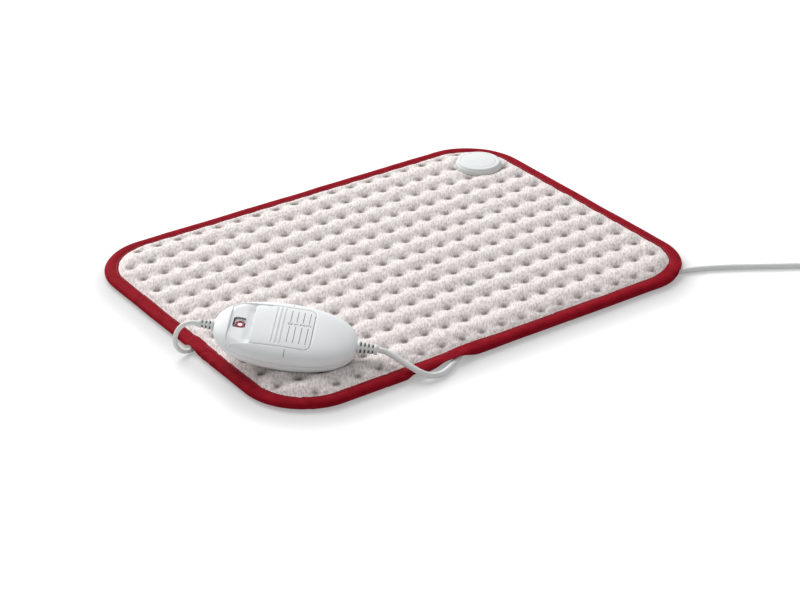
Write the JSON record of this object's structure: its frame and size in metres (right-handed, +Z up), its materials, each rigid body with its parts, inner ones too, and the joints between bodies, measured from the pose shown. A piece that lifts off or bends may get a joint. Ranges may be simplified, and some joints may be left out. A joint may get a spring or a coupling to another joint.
{
  "type": "heating pad with controller",
  "caption": "Quilted rectangular electric heating pad with a bound edge, a corner coupling and a corded hand controller whose slider sets the heat stage.",
  "frame": {"origin": "under the middle of the pad, on the surface that the pad rests on", "axes": "+X along the pad's long side, with the coupling at the right end, +Y along its short side, +Z up from the surface"},
  "size_m": [0.6103, 0.4933, 0.0457],
  "materials": {
    "fleece": "fine short pile, quilted",
    "wadding": "brushed cloth over wadding",
    "binding": "smooth woven tape",
    "carrier_cloth": "thin plain cloth",
    "wire_sleeve": "soft sleeve",
    "case_plastic": "satin moulded",
    "slider_plastic": "satin moulded",
    "lead_plastic": "soft moulded",
    "clear_plastic": "clear moulded",
    "board": "coated board",
    "dark_plastic": "moulded",
    "brass": "bright",
    "steel": "plated",
    "lamp_red": "clear moulded"
  },
  "bodies": {
    "pad_and_case": {"bottom_cover": "wadding", "heating_carrier": "carrier_cloth", "heating_wire": "wire_sleeve", "thermal_cutout_left": "dark_plastic", "thermal_cutout_right": "dark_plastic", "top_cover": "fleece", "edge_binding": "binding", "coupling_base": "case_plastic", "coupling_cap": "case_plastic", "coupling_plug": "lead_plastic", "coupling_screw_inner": "steel", "coupling_screw_outer": "steel", "socket_contact_inner": "brass", "socket_contact_outer": "brass", "lower_shell": "case_plastic", "upper_shell": "case_plastic", "contact_strip": "brass", "circuit_board": "board", "window_lens": "clear_plastic", "indicator_plate": "slider_plastic", "indicator_lamp": "lamp_red", "fuse": "steel", "capacitor": "dark_plastic", "triac": "dark_plastic", "case_screw_1": "steel", "case_screw_2": "steel", "case_screw_3": "steel", "case_screw_4": "steel", "pad_strain_relief": "lead_plastic", "mains_strain_relief": "lead_plastic", "pad_lead": "lead_plastic", "mains_lead": "lead_plastic", "mains_lead_coil": "lead_plastic", "mains_lead_tail": "lead_plastic", "coil_tie": "dark_plastic", "plug_body": "lead_plastic", "plug_pin_left": "steel", "plug_pin_right": "steel"},
    "slider": {"heat_slider": "slider_plastic", "wiper_contact": "brass"}
  },
  "joints": [
    {"name": "heat_stage_slide", "type": "slide", "parent": "pad_and_case", "child": "slider", "axis": [-0.7499, 0.6518, 0.1132], "range_m": [0, 0.015]}
  ]
}
